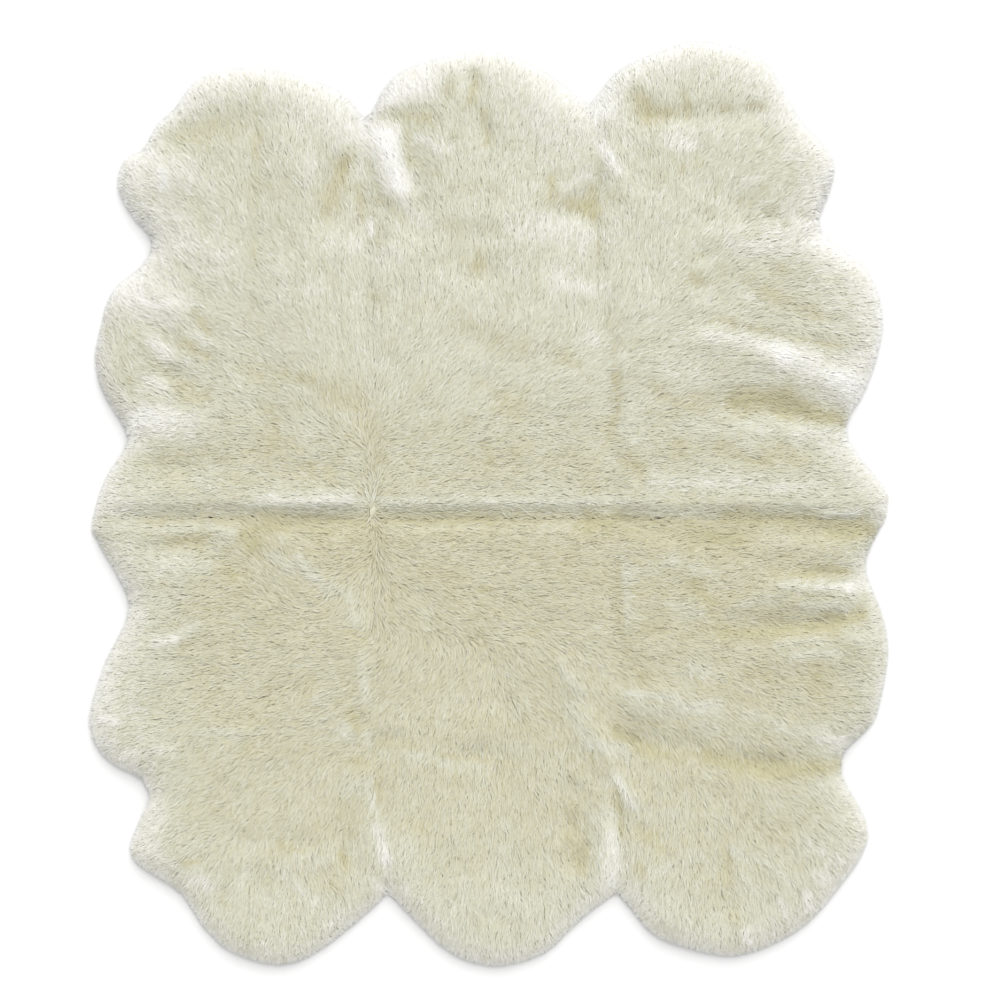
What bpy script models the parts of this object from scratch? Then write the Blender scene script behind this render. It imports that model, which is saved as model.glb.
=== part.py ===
"""A rug of six long-wool sheepskins, sewn in three columns and two rows.

Metres, +Z up. The underside lies on Z = 0 and the origin is under the middle of the rug.
+Y runs along the rug, from the neck ends of one row to the neck ends of the other.
Each pelt is one closed solid: its hide, with the fleece that stands on it.
"""

import bmesh
import bpy
import numpy as np
from mathutils import Vector, geometry, noise

FLEECE_HEIGHT = 0.045  # top of the wool above the floor, in the middle of a pelt
RIM_HEIGHT = 0.009  # top of the wool at the rug's very edge
RIM_WIDTH = 0.060  # over which the wool rolls down to the rim
SEAM_GAP = 0.0004  # between two sewn pelts
SEAM_DIP = 0.007  # how far the wool sinks along a seam
SEAM_HALF_WIDTH = 0.020
TUFT_RISE = 0.003  # slow unevenness of the wool
TUFT_SIZE = 0.11
CROSS_SEAM_Y = -0.030  # where the two rows of pelts are sewn together
SHARP_ANGLE = 0.9  # radians, so the wool is smooth and the underside's edge is sharp
EDGE_STEP = 0.030  # spacing of the points along an outline
TOP_STEP = 0.042  # spacing of the points in the middle of a pelt
EDGE_ROWS = (0.010, 0.030, 0.060)  # insets of the rows where the wool bends most
ROW_CLEARANCE = 0.9  # share of its inset that each point of a row keeps from the whole outline
MERGE_DISTANCE = 1e-6
INSIDE_ONLY = 1  # the triangulation's output type that fills an outline and nothing outside it

# Where two columns are sewn together, from the top notch to the bottom one: x, y
LEFT_SEAM = (
    (-0.260, 0.787),
    (-0.253, 0.420),
    (-0.249, CROSS_SEAM_Y),
    (-0.238, -0.490),
    (-0.213, -0.802),
)
RIGHT_SEAM = (
    (0.208, 0.824),
    (0.228, 0.752),
    (0.222, 0.640),
    (0.232, 0.470),
    (0.249, 0.257),
    (0.253, CROSS_SEAM_Y),
    (0.261, -0.284),
    (0.271, -0.492),
    (0.267, -0.805),
)

# The free edge of each pelt, clockwise from one seam to the next, bulging at the neck, the
# shoulders, the legs and the belly: x, y
TOP_LEFT_EDGE = (
    (-0.823, CROSS_SEAM_Y),  # hind leg
    (-0.797, 0.052),
    (-0.749, 0.135),  # flank
    (-0.798, 0.225),
    (-0.818, 0.300),  # belly
    (-0.803, 0.375),
    (-0.783, 0.440),
    (-0.717, 0.497),
    (-0.700, 0.550),  # behind the foreleg
    (-0.742, 0.602),
    (-0.771, 0.660),  # foreleg
    (-0.757, 0.716),
    (-0.720, 0.732),
    (-0.690, 0.787),
    (-0.655, 0.818),
    (-0.602, 0.883),  # shoulder
    (-0.500, 0.904),  # neck
    (-0.400, 0.886),
    (-0.302, 0.846),
    (-0.260, 0.787),
)
TOP_CENTRE_EDGE = (
    (-0.260, 0.787),
    (-0.243, 0.810),
    (-0.200, 0.883),  # shoulder
    (-0.100, 0.925),
    (0.005, 0.936),  # neck
    (0.100, 0.902),
    (0.172, 0.850),  # shoulder
    (0.208, 0.824),
)
TOP_RIGHT_EDGE = (
    (0.208, 0.824),
    (0.270, 0.898),  # shoulder
    (0.350, 0.935),
    (0.435, 0.959),  # neck
    (0.568, 0.918),
    (0.640, 0.800),  # shoulder
    (0.696, 0.738),
    (0.716, 0.690),  # foreleg
    (0.682, 0.590),
    (0.690, 0.557),  # behind the foreleg
    (0.785, 0.480),
    (0.816, 0.375),  # belly
    (0.785, 0.248),
    (0.738, 0.160),  # flank
    (0.765, 0.097),
    (0.830, 0.014),  # hind leg
    (0.823, CROSS_SEAM_Y),
)
BOTTOM_RIGHT_EDGE = (
    (0.823, CROSS_SEAM_Y),  # hind leg
    (0.790, -0.090),
    (0.780, -0.142),  # flank
    (0.817, -0.240),
    (0.826, -0.325),  # belly
    (0.797, -0.455),
    (0.745, -0.505),
    (0.730, -0.565),  # behind the foreleg
    (0.786, -0.690),  # foreleg
    (0.718, -0.808),
    (0.645, -0.884),  # shoulder
    (0.550, -0.930),
    (0.475, -0.937),  # neck
    (0.355, -0.902),
    (0.300, -0.845),
    (0.267, -0.805),
)
BOTTOM_CENTRE_EDGE = (
    (0.267, -0.805),
    (0.200, -0.855),
    (0.160, -0.892),  # shoulder
    (0.115, -0.933),
    (0.030, -0.959),  # neck
    (-0.048, -0.948),
    (-0.105, -0.913),
    (-0.160, -0.858),  # shoulder
    (-0.213, -0.802),
)
BOTTOM_LEFT_EDGE = (
    (-0.213, -0.802),
    (-0.242, -0.838),
    (-0.350, -0.925),
    (-0.435, -0.958),  # neck
    (-0.540, -0.928),
    (-0.600, -0.870),  # shoulder
    (-0.640, -0.808),
    (-0.735, -0.745),
    (-0.742, -0.700),  # foreleg
    (-0.703, -0.610),
    (-0.720, -0.572),  # behind the foreleg
    (-0.795, -0.530),
    (-0.830, -0.455),  # belly
    (-0.800, -0.340),
    (-0.752, -0.240),
    (-0.753, -0.185),  # flank
    (-0.804, -0.094),
    (-0.824, -0.055),
    (-0.823, CROSS_SEAM_Y),  # hind leg
)

PELTS = (
    # node, row, free edge, seam at its left, seam at its right, linear colour of the wool
    ("pelt_top_left", "top", TOP_LEFT_EDGE, None, LEFT_SEAM, (0.66, 0.65, 0.55)),
    ("pelt_top_centre", "top", TOP_CENTRE_EDGE, LEFT_SEAM, RIGHT_SEAM, (0.66, 0.65, 0.54)),
    ("pelt_top_right", "top", TOP_RIGHT_EDGE, RIGHT_SEAM, None, (0.66, 0.65, 0.54)),
    ("pelt_bottom_left", "bottom", BOTTOM_LEFT_EDGE, None, LEFT_SEAM, (0.62, 0.60, 0.45)),
    ("pelt_bottom_centre", "bottom", BOTTOM_CENTRE_EDGE, LEFT_SEAM, RIGHT_SEAM, (0.59, 0.58, 0.43)),
    ("pelt_bottom_right", "bottom", BOTTOM_RIGHT_EDGE, RIGHT_SEAM, None, (0.60, 0.59, 0.44)),
)

# Ridges and troughs of the wool: from x, y, to x, y, rise, half width
FOLDS = (
    # the partings down the six spines
    (-0.478, 0.860, -0.478, 0.120, -0.004, 0.014),
    (-0.030, 0.880, -0.005, 0.730, -0.008, 0.016),
    (-0.005, 0.730, 0.000, 0.120, -0.003, 0.014),
    (0.438, 0.880, 0.438, 0.380, -0.004, 0.014),
    (-0.467, -0.150, -0.467, -0.880, -0.003, 0.014),
    (0.032, -0.150, 0.032, -0.900, -0.003, 0.014),
    (0.490, -0.150, 0.490, -0.890, -0.004, 0.014),
    # across the middle: the top row's wool lies over the seam, with a trough below it
    (-0.760, 0.010, -0.300, 0.004, 0.005, 0.018),
    (-0.200, 0.012, 0.200, 0.010, 0.004, 0.018),
    (0.300, 0.006, 0.780, -0.010, 0.006, 0.018),
    (-0.720, -0.085, -0.520, -0.110, -0.006, 0.020),
    (-0.400, -0.050, -0.300, -0.030, -0.005, 0.018),
    (0.272, -0.040, 0.440, -0.076, -0.006, 0.018),
    (0.440, -0.076, 0.790, -0.055, -0.007, 0.018),
    # top left
    (-0.660, 0.755, -0.580, 0.800, -0.009, 0.030),
    (-0.700, 0.735, -0.650, 0.650, 0.005, 0.022),
    (-0.325, 0.700, -0.335, 0.590, -0.008, 0.028),
    (-0.720, 0.440, -0.640, 0.400, 0.005, 0.024),
    (-0.690, 0.325, -0.650, 0.300, 0.005, 0.016),
    (-0.680, 0.275, -0.610, 0.250, -0.006, 0.016),
    (-0.715, 0.165, -0.600, 0.165, 0.005, 0.020),
    (-0.700, 0.075, -0.630, 0.065, -0.007, 0.024),
    # top centre
    (-0.220, 0.740, -0.195, 0.650, 0.007, 0.022),
    (-0.172, 0.740, -0.140, 0.570, -0.009, 0.020),
    (0.205, 0.650, 0.165, 0.570, -0.009, 0.026),
    # top right
    (0.310, 0.810, 0.570, 0.808, -0.006, 0.026),
    (0.250, 0.740, 0.280, 0.640, 0.005, 0.022),
    (0.500, 0.610, 0.600, 0.590, -0.005, 0.024),
    (0.438, 0.330, 0.625, 0.290, 0.006, 0.028),
    (0.625, 0.290, 0.740, 0.250, 0.006, 0.028),
    (0.469, 0.205, 0.708, 0.188, -0.010, 0.020),
    # bottom right
    (0.600, -0.142, 0.740, -0.142, -0.006, 0.018),
    (0.600, -0.180, 0.750, -0.195, 0.005, 0.018),
    (0.500, -0.256, 0.740, -0.246, -0.008, 0.020),
    (0.610, -0.315, 0.770, -0.290, 0.005, 0.026),
    (0.280, -0.410, 0.480, -0.410, 0.005, 0.022),
    (0.313, -0.492, 0.479, -0.523, -0.007, 0.022),
    (0.479, -0.523, 0.700, -0.542, -0.007, 0.022),
    # bottom centre, with the short sewn slit
    (-0.230, -0.494, 0.028, -0.523, -0.008, 0.012),
    (0.157, -0.346, 0.209, -0.450, 0.006, 0.018),
    (0.209, -0.450, 0.285, -0.620, 0.008, 0.018),
    (0.178, -0.610, 0.178, -0.750, -0.009, 0.024),
    (0.240, -0.670, 0.256, -0.770, 0.006, 0.018),
    # bottom left
    (-0.269, -0.305, -0.246, -0.480, 0.006, 0.014),
    (-0.250, -0.540, -0.225, -0.740, 0.007, 0.016),
    (-0.300, -0.680, -0.290, -0.760, -0.007, 0.024),
    (-0.520, -0.700, -0.430, -0.692, -0.005, 0.014),
    (-0.430, -0.692, -0.350, -0.720, -0.006, 0.014),
    (-0.630, -0.290, -0.580, -0.280, 0.005, 0.016),
)


def clear_scene():
    for obj in list(bpy.data.objects):
        bpy.data.objects.remove(obj, do_unlink=True)


def smooth_line(table, step):
    """Points about a step apart on a smooth curve through a table's points, with both ends."""
    knots = np.array(table)
    knots = np.vstack([2 * knots[0] - knots[1], knots, 2 * knots[-1] - knots[-2]])
    line = []
    for before, start, end, after in zip(knots, knots[1:], knots[2:], knots[3:]):
        bend = 2 * before - 5 * start + 4 * end - after
        twist = 3 * start - before - 3 * end + after
        pieces = max(1, round(np.linalg.norm(end - start) / step))
        for share in np.arange(pieces) / pieces:
            line.append(start + ((end - before) * share + bend * share**2 + twist * share**3) / 2)
    return np.array([*line, knots[-2]])


def seam_half(seam, row):
    """A column seam's points beside this row, from the rug's edge to the cross seam."""
    if row == "top":
        return [point for point in seam if point[1] >= CROSS_SEAM_Y]
    return [point for point in reversed(seam) if point[1] <= CROSS_SEAM_Y]


def pelt_outline(row, free_edge, left_seam, right_seam):
    """One pelt's closed outline, clockwise from the start of its free edge."""
    way_in, way_out = (right_seam, left_seam) if row == "top" else (left_seam, right_seam)
    sections = [free_edge]
    if way_in:
        sections.append(seam_half(way_in, row))
    last = seam_half(way_out, row)[::-1] if way_out else free_edge[:1]
    sections.append((sections[-1][-1], last[0]))
    if way_out:
        sections.append(last)
    return np.vstack([smooth_line(section, EDGE_STEP)[:-1] for section in sections])


def inset(outline, distance):
    """A clockwise outline's points, each moved in along its corner's mitre."""
    side = outline - np.roll(outline, 1, axis=0)
    side /= np.linalg.norm(side, axis=1, keepdims=True)
    arriving = side[:, ::-1] * (1, -1)
    leaving = np.roll(arriving, -1, axis=0)
    spread = 1 + (arriving * leaving).sum(axis=1, keepdims=True)
    return outline + distance * (arriving + leaving) / spread


def distance_to(points, line):
    """How far each point is from a line of points."""
    along = np.diff(line, axis=0)
    offset = points[:, None] - line[:-1]
    share = np.clip((offset * along).sum(axis=2) / (along**2).sum(axis=1), 0, 1)
    return np.linalg.norm(offset - share[..., None] * along, axis=2).min(axis=1)


def inside(points, outline):
    """Which points lie inside a closed outline, by counting the sides to their right."""
    start, end = outline, np.roll(outline, -1, axis=0)
    x, y = points[:, :1], points[:, 1:]
    crossed = (start[:, 1] > y) != (end[:, 1] > y)
    run, climb = (end - start).T
    slope = run / np.where(climb == 0, 1, climb)
    return (crossed & (x < start[:, 0] + (y - start[:, 1]) * slope)).sum(axis=1) % 2 == 1


def grid_over(outline, step):
    """A triangular grid of points over an outline's box."""
    low, high = outline.min(axis=0), outline.max(axis=0)
    rows = np.arange(low[1], high[1], step * np.sqrt(0.75))
    columns = np.arange(low[0], high[0], step)
    x, y = np.meshgrid(columns, rows)
    x[1::2] += step / 2
    return np.column_stack([x.ravel(), y.ravel()])


def inner_points(outline):
    """Points inside an outline: rows along it, and a grid in the middle."""
    closed = np.vstack([outline, outline[:1]])
    rows = []
    for depth in EDGE_ROWS:
        row = inset(outline, depth)
        rows.append(row[inside(row, outline) & (distance_to(row, closed) > ROW_CLEARANCE * depth)])
    grid = grid_over(outline, TOP_STEP)
    middle = distance_to(grid, closed) > EDGE_ROWS[-1] + TOP_STEP / 2
    return np.vstack([*rows, grid[inside(grid, outline) & middle]])


def swell(distance, half_width):
    """1 on a ridge's line, falling softly to nothing at about twice its half width."""
    return np.exp(-((distance / half_width) ** 2))


def fleece_heights(points, free_edges, seams):
    """Top of the wool at each point: rolled down at the rug's edge and sunk at the seams."""
    to_edge = np.min([distance_to(points, line) for line in free_edges], axis=0)
    to_seam = np.min([distance_to(points, line) for line in seams], axis=0)
    roll = np.sqrt(1 - (1 - np.minimum(to_edge / RIM_WIDTH, 1)) ** 2)
    rise = FLEECE_HEIGHT - RIM_HEIGHT - SEAM_DIP * swell(to_seam, SEAM_HALF_WIDTH)
    rise += [TUFT_RISE * noise.noise(Vector((x, y, 0)) / TUFT_SIZE) for x, y in points]
    folds = []
    for from_x, from_y, to_x, to_y, height, half_width in FOLDS:
        line = np.array([(from_x, from_y), (to_x, to_y)])
        folds.append(height * swell(distance_to(points, line), half_width))
    rise += np.max(folds, axis=0) + np.min(folds, axis=0)
    return RIM_HEIGHT + rise * roll


def pelt_mesh(name, outline, free_edges, seams):
    """The fleece's top, walls down to the floor and a flat underside."""
    points = np.vstack([outline, inner_points(outline)])
    border = [list(range(len(outline)))]
    flat = [Vector(point) for point in points]
    top, _, faces, *_ = geometry.delaunay_2d_cdt(flat, [], border, INSIDE_ONLY, MERGE_DISTANCE)
    heights = fleece_heights(np.array(top), free_edges, seams)
    bm = bmesh.new()
    verts = [bm.verts.new((*point, height)) for point, height in zip(top, heights)]
    for face in faces:
        bm.faces.new([verts[index] for index in face])
    rim = [edge for edge in bm.edges if edge.is_boundary]
    walls = bmesh.ops.extrude_edge_only(bm, edges=rim)["geom"]
    for vert in walls:
        if isinstance(vert, bmesh.types.BMVert):
            vert.co.z = 0
    floor = [edge for edge in bm.edges if edge.is_boundary]
    underside = bmesh.ops.contextual_create(bm, geom=floor)["faces"]
    bmesh.ops.triangulate(bm, faces=underside, ngon_method="BEAUTY")
    bmesh.ops.recalc_face_normals(bm, faces=bm.faces)
    mesh = bpy.data.meshes.new(name)
    bm.to_mesh(mesh)
    bm.free()
    mesh.shade_smooth()
    mesh.set_sharp_from_angle(angle=SHARP_ANGLE)
    return mesh


def wool(name, colour):
    material = bpy.data.materials.new(name)
    material.use_nodes = True
    shader = material.node_tree.nodes["Principled BSDF"]
    shader.inputs["Base Color"].default_value = (*colour, 1)
    shader.inputs["Roughness"].default_value = 0.9
    shader.inputs["Metallic"].default_value = 0
    shader.inputs["Sheen Weight"].default_value = 0.3
    return material


def main():
    clear_scene()
    rug = bpy.data.collections.new("sheepskin_rug")
    bpy.context.scene.collection.children.link(rug)
    middle = bpy.data.objects.new("rug_origin", None)
    rug.objects.link(middle)
    free_edges = [smooth_line(edge, EDGE_STEP) for _, _, edge, *_ in PELTS]
    columns = [smooth_line(seam, EDGE_STEP) for seam in (LEFT_SEAM, RIGHT_SEAM)]
    across = np.array([TOP_LEFT_EDGE[0], TOP_RIGHT_EDGE[-1]])
    for name, row, free_edge, left_seam, right_seam, colour in PELTS:
        outline = inset(pelt_outline(row, free_edge, left_seam, right_seam), SEAM_GAP / 2)
        mesh = pelt_mesh(name, outline, free_edges, [*columns, across])
        mesh.materials.append(wool(f"wool_{name}", colour))
        pelt = bpy.data.objects.new(name, mesh)
        pelt.parent = middle
        rug.objects.link(pelt)


main()
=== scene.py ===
"""Looks of the six-pelt sheepskin rug: hides, undercoats, combed wool, floor and light.

Metres, +Z up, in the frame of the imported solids. Each pelt's solid is replaced by a thin hide,
a dense undercoat on the solid's own relief, and a fleece of tapered strands that lie the way
the wool is combed. Angles are headings, in degrees anticlockwise from +X.
"""

import math

import bmesh
import bpy
import numpy as np
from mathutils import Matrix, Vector, geometry, kdtree, noise
from mathutils.bvhtree import BVHTree


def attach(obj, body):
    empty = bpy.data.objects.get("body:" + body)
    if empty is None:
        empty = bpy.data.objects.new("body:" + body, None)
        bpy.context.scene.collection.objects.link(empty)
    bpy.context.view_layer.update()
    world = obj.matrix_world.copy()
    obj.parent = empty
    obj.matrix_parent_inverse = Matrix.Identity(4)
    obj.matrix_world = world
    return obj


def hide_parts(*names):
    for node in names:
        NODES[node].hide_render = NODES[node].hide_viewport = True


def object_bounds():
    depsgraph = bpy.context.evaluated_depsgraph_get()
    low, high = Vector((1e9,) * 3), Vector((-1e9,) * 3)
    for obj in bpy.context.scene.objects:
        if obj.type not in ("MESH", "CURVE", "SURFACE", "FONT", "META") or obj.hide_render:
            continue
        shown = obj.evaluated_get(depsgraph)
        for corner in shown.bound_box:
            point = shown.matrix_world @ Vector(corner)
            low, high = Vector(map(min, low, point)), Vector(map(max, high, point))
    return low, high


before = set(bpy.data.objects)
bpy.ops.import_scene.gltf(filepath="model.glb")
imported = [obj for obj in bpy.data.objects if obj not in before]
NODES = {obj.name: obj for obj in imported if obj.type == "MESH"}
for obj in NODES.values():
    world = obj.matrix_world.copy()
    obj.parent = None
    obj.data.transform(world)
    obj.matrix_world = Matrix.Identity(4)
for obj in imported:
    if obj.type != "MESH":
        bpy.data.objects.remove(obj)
CAD_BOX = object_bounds()

GRID = 0.005  # spacing of the grids that hold the rug's height, distances and combing
GRID_MARGIN = 0.04  # how far the grids reach past the CAD box
SEWN_GAP = 0.003  # an edge with another pelt's edge closer than this is sewn to it
NUDGE = 0.002  # how far to look aside for a pelt's top, over the hairline gap of a seam
LEAST_TOP = 0.004
HIDE_LOW, HIDE_HIGH = 0.0005, 0.0025  # the hide's two faces
HIDE_INSET = 0.010  # from the rug's free edge in to the hide's edge
COAT_INSET = 0.014  # from the rug's free edge in to the undercoat's edge
COAT_STEP = 0.012  # between the points of the undercoat's top
COAT_DEPTH = 0.0035  # from the rug's top down to the dense undercoat
ROOT_DEPTH = 0.001  # from there down to the roots

# The kinds of strand: how close their roots are, how long they are, rings of (share of the
# length, width) from root to tip, and how much whiter they are, partly painted highlight on the
# locks
STRAND_KINDS = (
    (0.0033, 0.024, ((0, 0), (0.45, 0.0029), (1, 0)), -0.03),
    (0.0062, 0.032, ((0, 0), (0.30, 0.0024), (0.68, 0.0022), (1, 0)), 0.10),
)
LENGTH_RANGE = (0.7, 1.25)  # shortest and longest strand, as a share of its kind's length
SHORTEST = 0.008  # at the rim, where strands are cut to stay near the edge
ROOT_INSET = 0.003  # from the rug's free edge in to the first roots
ROOT_JITTER = 0.35  # share of the spacing
HEADING_SWIRLS = ((0.40, 0.06, 1), (0.35, 0.02, 2))  # radians, size, noise layer
HEADING_JITTER, ROLL_JITTER, MOST_ROLL = 0.20, 0.4, 0.8  # radians
LOCK_SIZE, LOCK_PULL = 0.016, 0.45  # how wide a lock is, and how far its tips draw together
BEND_JITTER = 0.10  # share of the length by which a tip bends aside
CRIMP, CRIMP_TURN = 0.0010, 5  # height of a strand's waves, and their radians from root to tip
RISEN = 0.6  # share of its length at which a strand reaches the rug's top
LIFT_JITTER, TIP_DROOP = 0.0006, 0.002
LOWEST = 0.0006  # no wool lies below this
SOFTNESS = 0.75  # share of the rug's own slope, against the strand's, in a strand's shading
MARK_RISE, MARK_MOST = 0.008, 0.5  # rise for each unit of whiteness, and the most that counts
MARK_FALL = 0.7  # share of its half width over which a mark fades
TUFTS = ((0.0016, 0.045, 6), (0.0012, 0.020, 7))  # rise, size, noise layer
TINT_PATCHES = ((0.08, 0.06, 11), (0.10, 0.02, 12))  # whiteness, size, noise layer
TINT_JITTER = 0.05
TINT_SPREAD = 0.004  # how far each side of a strand is from the tint of its middle
TINT_RANGE = (0.01, 0.99)

COMB_BLUR = 0.04  # how far a row of the combing table holds its heading
RIM_REACH, RIM_TURN = 0.045, 0.8  # how far in the wool turns outward, and how strongly
RIM_FUZZ = (-0.002, 0.006)  # least and most reach of the tips past the edge
RIM_LEVEL = 0.03  # how far in from the edge tufts and marks reach their full height
RIM_PAINTED_LIGHT, RIM_FADE = 0.54, 0.042  # painted light: how much whiter the edge is, as if lit through its thin fleece, and over what distance
SLOPE_ROUNDS = 6  # of softening
RIM_SLOPE, RIM_BAND = 0.20, 0.09  # share of its slope that shades the rim, and the rim's width
SEAM_SLOPE, SEAM_BAND = 0.35, 0.03  # the same for the seams

# Colours, as (place, colour) from creamy to white, root to tip, or dark to light grain
TINT_RAMP = ((0, (0.58, 0.545, 0.355)), (0.5, (0.69, 0.69, 0.58)), (1, (0.95, 0.95, 0.95)))
# root to tip: partly the wool's own creamier roots, partly painted shade deep in the pile
ALONG_RAMP = ((0, (0.86, 0.83, 0.74)), (0.6, (0.97, 0.965, 0.94)), (1, (1, 1, 1)))
COAT_RAMP = ((0.3, (0.68, 0.65, 0.48)), (0.7, (0.76, 0.74, 0.60)))
SUEDE_RAMP = ((0.3, (0.66, 0.57, 0.42)), (0.7, (0.76, 0.68, 0.53)))

# Floor, light and camera
FLOOR_HALF, FLOOR_COLOUR = 30, (0.93, 0.93, 0.93)
FILL_STRENGTH = 0.78
KEY_STRENGTH, KEY_SPREAD = 2.1, 50  # a wide soft key, in degrees across
KEY_FROM = (0.20, 0.80, 0.70)
LENS_MM, SENSOR_MM = 200, 36
VIEW_CENTRE, VIEW_WIDTH = (0.022, 0.007), 2.08  # straight down, with a little floor all round
FOCUS_HEIGHT = 0.02

# How the wool is combed: x, y, heading of the tips
COMBING = (
    # top left
    (-0.60, 0.80, 125),
    (-0.71, 0.67, 140),
    (-0.50, 0.84, 108),
    (-0.33, 0.82, 85),
    (-0.48, 0.63, 118),
    (-0.31, 0.63, 98),
    (-0.69, 0.47, 140),
    (-0.48, 0.47, 130),
    (-0.30, 0.44, 98),
    (-0.77, 0.28, 110),
    (-0.64, 0.36, 152),
    (-0.46, 0.34, 148),
    (-0.29, 0.32, 110),
    (-0.69, 0.24, 165),
    (-0.50, 0.22, 166),
    (-0.29, 0.22, 112),
    (-0.71, 0.11, 180),
    (-0.50, 0.09, 180),
    (-0.31, 0.09, 172),
    (-0.70, 0.00, 180),
    # top centre
    (-0.19, 0.82, 120),
    (-0.01, 0.88, 90),
    (0.15, 0.82, 72),
    (-0.21, 0.71, 118),
    (-0.14, 0.71, 122),
    (-0.02, 0.67, 92),
    (0.15, 0.67, 80),
    (0.21, 0.63, 82),
    (-0.19, 0.42, 95),
    (0.00, 0.42, 90),
    (0.19, 0.42, 86),
    (-0.20, 0.24, 60),
    (-0.12, 0.28, 60),
    (0.00, 0.26, 45),
    (0.13, 0.26, 30),
    (-0.18, 0.13, 20),
    (-0.14, 0.06, 5),
    (0.00, 0.10, 5),
    (0.14, 0.09, 0),
    # top right
    (0.27, 0.82, 102),
    (0.44, 0.88, 80),
    (0.58, 0.82, 55),
    (0.27, 0.67, 102),
    (0.44, 0.65, 68),
    (0.60, 0.67, 35),
    (0.69, 0.69, 25),
    (0.29, 0.47, 88),
    (0.42, 0.47, 58),
    (0.56, 0.47, 12),
    (0.75, 0.44, 0),
    (0.31, 0.32, 25),
    (0.44, 0.32, 15),
    (0.65, 0.32, -12),
    (0.77, 0.29, -8),
    (0.31, 0.11, 5),
    (0.52, 0.13, 0),
    (0.71, 0.15, 0),
    (0.78, 0.05, 5),
    # bottom left
    (-0.71, -0.12, 175),
    (-0.56, -0.16, 185),
    (-0.45, -0.14, 132),
    (-0.29, -0.12, 182),
    (-0.25, -0.18, 265),
    (-0.71, -0.28, 185),
    (-0.50, -0.28, 186),
    (-0.31, -0.28, 190),
    (-0.71, -0.45, 196),
    (-0.50, -0.45, 200),
    (-0.31, -0.45, 204),
    (-0.71, -0.55, 205),
    (-0.60, -0.62, 216),
    (-0.44, -0.60, 228),
    (-0.31, -0.62, 250),
    (-0.69, -0.70, 210),
    (-0.58, -0.76, 235),
    (-0.46, -0.80, 262),
    (-0.33, -0.78, 288),
    # bottom centre
    (-0.18, -0.12, 355),
    (-0.06, -0.12, 0),
    (-0.17, -0.22, 330),
    (0.00, -0.22, 345),
    (0.15, -0.22, 350),
    (0.13, -0.12, 0),
    (-0.17, -0.33, 230),
    (-0.04, -0.37, 245),
    (0.08, -0.35, 320),
    (0.18, -0.37, 298),
    (-0.19, -0.53, 256),
    (0.02, -0.55, 270),
    (0.19, -0.55, 284),
    (-0.12, -0.78, 255),
    (0.03, -0.82, 270),
    (0.17, -0.76, 288),
    # bottom right
    (0.33, -0.12, 0),
    (0.52, -0.12, 0),
    (0.73, -0.12, 0),
    (0.31, -0.28, 352),
    (0.52, -0.28, 350),
    (0.73, -0.30, 350),
    (0.31, -0.39, 322),
    (0.52, -0.41, 326),
    (0.71, -0.41, 340),
    (0.35, -0.57, 276),
    (0.50, -0.55, 300),
    (0.69, -0.60, 320),
    (0.75, -0.68, 320),
    (0.33, -0.74, 265),
    (0.48, -0.76, 281),
    (0.62, -0.76, 305),
    (0.31, -0.82, 250),
    (0.48, -0.89, 270),
    (0.62, -0.85, 300),
)

# How white the wool is down the rug, before its marks: y, tint
TINT_ALONG = (
    (-0.80, 0.36),
    (-0.60, 0.30),
    (-0.30, 0.27),
    (-0.06, 0.22),
    (0.00, 0.38),
    (0.25, 0.43),
    (0.45, 0.50),
)
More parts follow.
